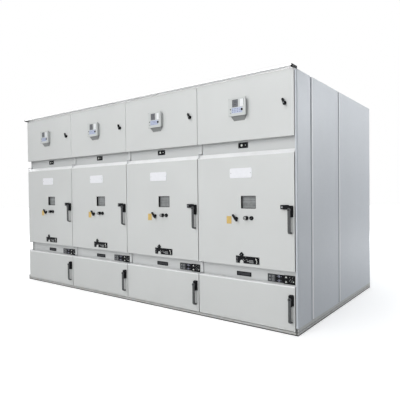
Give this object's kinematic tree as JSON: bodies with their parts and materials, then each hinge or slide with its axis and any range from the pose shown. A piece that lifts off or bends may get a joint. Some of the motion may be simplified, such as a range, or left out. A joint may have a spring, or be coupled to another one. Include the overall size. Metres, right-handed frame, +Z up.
{
  "type": "air-insulated switchgear",
  "caption": "Row of metal-clad medium-voltage switchgear panels with low-voltage doors above, breaker doors with a sloping top edge, and cable doors at the floor.",
  "frame": {"origin": "on the floor, at the middle of the row's box", "axes": "+X along the row, to the right as seen from the front; +Y from the doors to the rear; +Z up"},
  "size_m": [4.044, 2.213, 2.224],
  "materials": {
    "door_paint": "light grey fine-textured powder coat",
    "cover_paint": "light grey powder coat",
    "frame_paint": "light grey powder coat",
    "zinc_sheet": "zinc-coated sheet steel",
    "zinc_pin": "zinc-plated steel",
    "cornice_paint": "off-white coated aluminium section",
    "black_plastic": "black moulded plastic",
    "lever_paint": "dark grey coated die casting",
    "relay_plastic": "pale grey moulded housing",
    "window_glass": "clear laminated pane"
  },
  "bodies": {
    "housing": {"base_frame": "frame_paint", "side_walls": "zinc_sheet", "front_posts": "frame_paint", "rear_posts": "zinc_sheet", "floor_plates": "zinc_sheet", "shelves": "zinc_sheet", "barriers": "zinc_sheet", "front_strips": "frame_paint", "strip_plates": "black_plastic", "roof_plates": "zinc_sheet", "roof_flaps": "frame_paint", "rear_covers": "cover_paint", "end_cover_left": "cover_paint", "end_cover_right": "cover_paint", "cornice": "cornice_paint", "cornice_caps": "black_plastic", "door_pivots": "zinc_pin", "lv_doors": "door_paint", "relays": "relay_plastic", "lv_locks": "black_plastic"},
    "cb_door_1": {"cb_door_1": "door_paint", "cb_fittings_1": "black_plastic", "cb_window_1": "window_glass"},
    "cb_handle_1": {"cb_handle_1": "lever_paint"},
    "cb_rotary_1": {"cb_rotary_1": "black_plastic"},
    "cable_door_1": {"cable_door_1": "door_paint", "cable_catch_1": "black_plastic"},
    "cable_handle_1": {"cable_handle_1": "lever_paint"},
    "cb_door_2": {"cb_door_2": "door_paint", "cb_fittings_2": "black_plastic", "cb_window_2": "window_glass"},
    "cb_handle_2": {"cb_handle_2": "lever_paint"},
    "cb_rotary_2": {"cb_rotary_2": "black_plastic"},
    "cable_door_2": {"cable_door_2": "door_paint", "cable_catch_2": "black_plastic"},
    "cable_handle_2": {"cable_handle_2": "lever_paint"},
    "cb_door_3": {"cb_door_3": "door_paint", "cb_fittings_3": "black_plastic", "cb_window_3": "window_glass"},
    "cb_handle_3": {"cb_handle_3": "lever_paint"},
    "cb_rotary_3": {"cb_rotary_3": "black_plastic"},
    "cable_door_3": {"cable_door_3": "door_paint", "cable_catch_3": "black_plastic"},
    "cable_handle_3": {"cable_handle_3": "lever_paint"},
    "cb_door_4": {"cb_door_4": "door_paint", "cb_fittings_4": "black_plastic", "cb_window_4": "window_glass"},
    "cb_handle_4": {"cb_handle_4": "lever_paint"},
    "cb_rotary_4": {"cb_rotary_4": "black_plastic"},
    "cable_door_4": {"cable_door_4": "door_paint", "cable_catch_4": "black_plastic"},
    "cable_handle_4": {"cable_handle_4": "lever_paint"}
  },
  "joints": [
    {"name": "cb_door_1_hinge", "type": "hinge", "parent": "housing", "child": "cb_door_1", "pos_m": [-1.988, -1.0525, 0.528], "axis": [0, 0, -1], "range_deg": [0, 105]},
    {"name": "cable_door_1_hinge", "type": "hinge", "parent": "housing", "child": "cable_door_1", "pos_m": [-1.988, -1.0525, 0.033], "axis": [0, 0, -1], "range_deg": [0, 105]},
    {"name": "cb_handle_1_turn", "type": "hinge", "parent": "cb_door_1", "child": "cb_handle_1", "pos_m": [-1.035, -1.0805, 1.04], "axis": [0, 1, 0], "range_deg": [0, 90]},
    {"name": "cable_handle_1_turn", "type": "hinge", "parent": "cable_door_1", "child": "cable_handle_1", "pos_m": [-1.035, -1.0805, 0.302], "axis": [0, 1, 0], "range_deg": [0, 90]},
    {"name": "cb_rotary_1_turn", "type": "hinge", "parent": "cb_door_1", "child": "cb_rotary_1", "pos_m": [-1.562, -1.0665, 0.953], "axis": [0, 1, 0], "range_deg": [0, 90]},
    {"name": "cb_door_2_hinge", "type": "hinge", "parent": "housing", "child": "cb_door_2", "pos_m": [-0.988, -1.0525, 0.528], "axis": [0, 0, -1], "range_deg": [0, 105]},
    {"name": "cable_door_2_hinge", "type": "hinge", "parent": "housing", "child": "cable_door_2", "pos_m": [-0.988, -1.0525, 0.033], "axis": [0, 0, -1], "range_deg": [0, 105]},
    {"name": "cb_handle_2_turn", "type": "hinge", "parent": "cb_door_2", "child": "cb_handle_2", "pos_m": [-0.035, -1.0805, 1.04], "axis": [0, 1, 0], "range_deg": [0, 90]},
    {"name": "cable_handle_2_turn", "type": "hinge", "parent": "cable_door_2", "child": "cable_handle_2", "pos_m": [-0.035, -1.0805, 0.302], "axis": [0, 1, 0], "range_deg": [0, 90]},
    {"name": "cb_rotary_2_turn", "type": "hinge", "parent": "cb_door_2", "child": "cb_rotary_2", "pos_m": [-0.562, -1.0665, 0.953], "axis": [0, 1, 0], "range_deg": [0, 90]},
    {"name": "cb_door_3_hinge", "type": "hinge", "parent": "housing", "child": "cb_door_3", "pos_m": [0.012, -1.0525, 0.528], "axis": [0, 0, -1], "range_deg": [0, 105]},
    {"name": "cable_door_3_hinge", "type": "hinge", "parent": "housing", "child": "cable_door_3", "pos_m": [0.012, -1.0525, 0.033], "axis": [0, 0, -1], "range_deg": [0, 105]},
    {"name": "cb_handle_3_turn", "type": "hinge", "parent": "cb_door_3", "child": "cb_handle_3", "pos_m": [0.965, -1.0805, 1.04], "axis": [0, 1, 0], "range_deg": [0, 90]},
    {"name": "cable_handle_3_turn", "type": "hinge", "parent": "cable_door_3", "child": "cable_handle_3", "pos_m": [0.965, -1.0805, 0.302], "axis": [0, 1, 0], "range_deg": [0, 90]},
    {"name": "cb_rotary_3_turn", "type": "hinge", "parent": "cb_door_3", "child": "cb_rotary_3", "pos_m": [0.438, -1.0665, 0.953], "axis": [0, 1, 0], "range_deg": [0, 90]},
    {"name": "cb_door_4_hinge", "type": "hinge", "parent": "housing", "child": "cb_door_4", "pos_m": [1.012, -1.0525, 0.528], "axis": [0, 0, -1], "range_deg": [0, 105]},
    {"name": "cable_door_4_hinge", "type": "hinge", "parent": "housing", "child": "cable_door_4", "pos_m": [1.012, -1.0525, 0.033], "axis": [0, 0, -1], "range_deg": [0, 105]},
    {"name": "cb_handle_4_turn", "type": "hinge", "parent": "cb_door_4", "child": "cb_handle_4", "pos_m": [1.965, -1.0805, 1.04], "axis": [0, 1, 0], "range_deg": [0, 90]},
    {"name": "cable_handle_4_turn", "type": "hinge", "parent": "cable_door_4", "child": "cable_handle_4", "pos_m": [1.965, -1.0805, 0.302], "axis": [0, 1, 0], "range_deg": [0, 90]},
    {"name": "cb_rotary_4_turn", "type": "hinge", "parent": "cb_door_4", "child": "cb_rotary_4", "pos_m": [1.438, -1.0665, 0.953], "axis": [0, 1, 0], "range_deg": [0, 90]}
  ]
}
